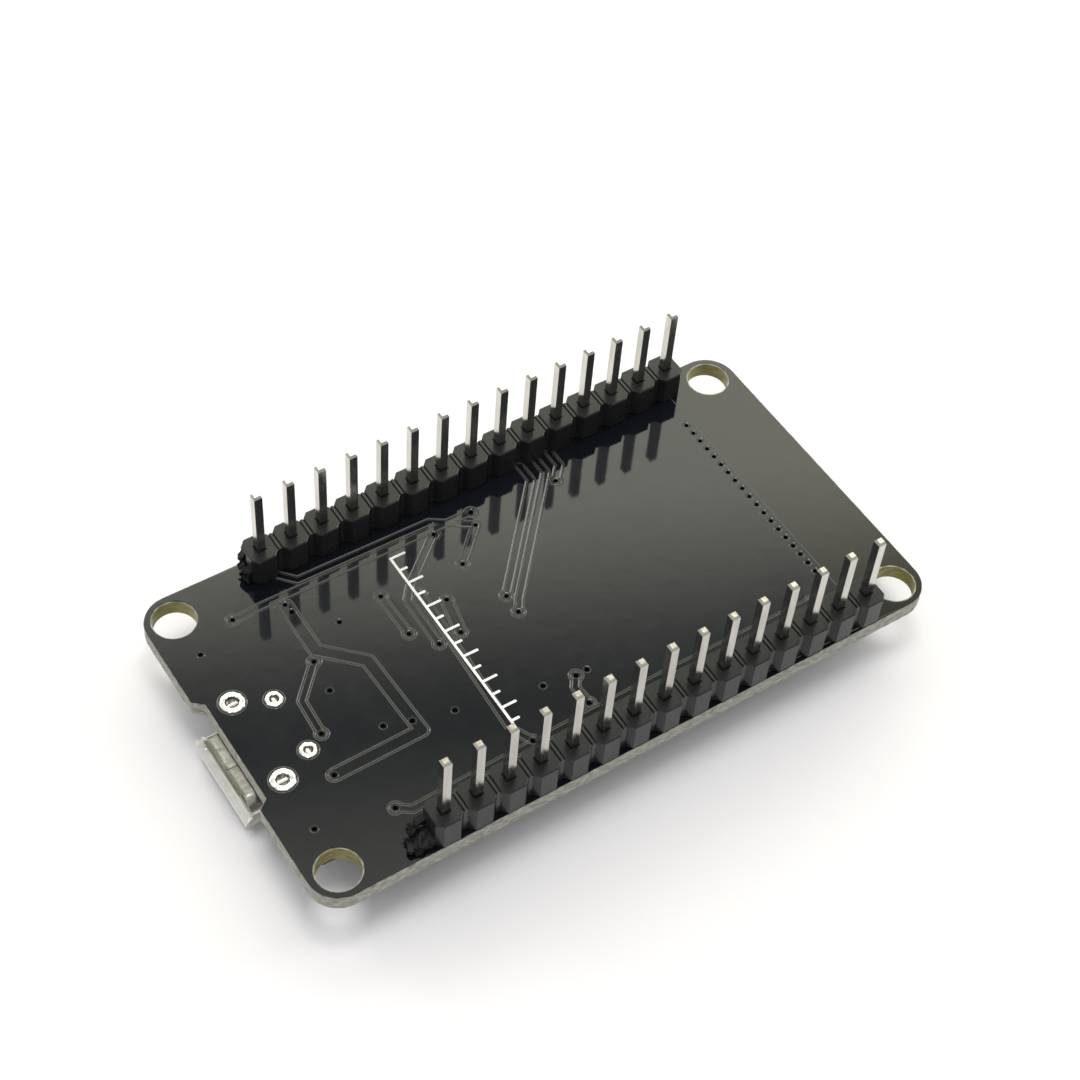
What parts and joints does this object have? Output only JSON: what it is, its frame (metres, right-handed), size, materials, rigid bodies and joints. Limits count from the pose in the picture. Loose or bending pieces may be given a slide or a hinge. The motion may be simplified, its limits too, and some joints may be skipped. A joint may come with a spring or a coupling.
{
  "type": "microcontroller development board",
  "caption": "Small microcontroller board with a shielded radio module, a micro USB socket, push buttons and rows of header pins that fit a breadboard or a carrier board.",
  "frame": {"origin": "on the surface that the board lies on, under the middle of its outline, with the flat face of the module's shield on that surface", "axes": "+Z the way the header pins point, away from the component side; +X from the USB end to the antenna end; +Y towards the far pin row, which is the reset button's side"},
  "size_m": [0.0518, 0.028, 0.0131],
  "materials": {
    "solder_mask": "glossy black solder mask over glass fibre laminate",
    "header_plastic": "satin black moulded plastic",
    "tinned_pin": "bright tinned brass",
    "module_laminate": "black solder mask",
    "shield_steel": "satin tinned sheet",
    "chip_resin": "matt moulded resin",
    "usb_steel": "bright nickel plated sheet",
    "usb_insulator": "satin black moulded plastic",
    "button_moulding": "matt black moulded plastic",
    "button_sheet": "satin stainless sheet",
    "button_cap": "satin black moulded plastic",
    "tantalum_resin": "satin amber resin",
    "red_lens": "clear tinted resin",
    "blue_lens": "clear tinted resin"
  },
  "bodies": {
    "board": {"boot_button_base": "button_moulding", "boot_button_cover": "button_sheet", "boot_button_dome": "button_sheet", "circuit_board": "solder_mask", "header_strip_far": "header_plastic", "header_strip_near": "header_plastic", "input_capacitor": "tantalum_resin", "module_board": "module_laminate", "module_crystal": "shield_steel", "module_flash": "chip_resin", "module_processor": "chip_resin", "module_shield": "shield_steel", "output_capacitor": "tantalum_resin", "pin_far_01": "tinned_pin", "pin_far_02": "tinned_pin", "pin_far_03": "tinned_pin", "pin_far_04": "tinned_pin", "pin_far_05": "tinned_pin", "pin_far_06": "tinned_pin", "pin_far_07": "tinned_pin", "pin_far_08": "tinned_pin", "pin_far_09": "tinned_pin", "pin_far_10": "tinned_pin", "pin_far_11": "tinned_pin", "pin_far_12": "tinned_pin", "pin_far_13": "tinned_pin", "pin_far_14": "tinned_pin", "pin_far_15": "tinned_pin", "pin_near_01": "tinned_pin", "pin_near_02": "tinned_pin", "pin_near_03": "tinned_pin", "pin_near_04": "tinned_pin", "pin_near_05": "tinned_pin", "pin_near_06": "tinned_pin", "pin_near_07": "tinned_pin", "pin_near_08": "tinned_pin", "pin_near_09": "tinned_pin", "pin_near_10": "tinned_pin", "pin_near_11": "tinned_pin", "pin_near_12": "tinned_pin", "pin_near_13": "tinned_pin", "pin_near_14": "tinned_pin", "pin_near_15": "tinned_pin", "power_led": "red_lens", "protection_diode": "chip_resin", "reset_button_base": "button_moulding", "reset_button_cover": "button_sheet", "reset_button_dome": "button_sheet", "status_led": "blue_lens", "transistor_1": "chip_resin", "transistor_2": "chip_resin", "usb_serial_chip": "chip_resin", "usb_shell": "usb_steel", "usb_tongue": "usb_insulator", "voltage_regulator": "chip_resin"},
    "reset_stem": {"reset_button_stem": "button_cap"},
    "boot_stem": {"boot_button_stem": "button_cap"}
  },
  "joints": [
    {"name": "reset_press", "type": "slide", "parent": "board", "child": "reset_stem", "axis": [0, 0, 1], "range_m": [0, 0.00025], "stiffness_N_per_m": 6400, "deforming": ["reset_button_dome"]},
    {"name": "boot_press", "type": "slide", "parent": "board", "child": "boot_stem", "axis": [0, 0, 1], "range_m": [0, 0.00025], "stiffness_N_per_m": 6400, "deforming": ["boot_button_dome"]}
  ]
}
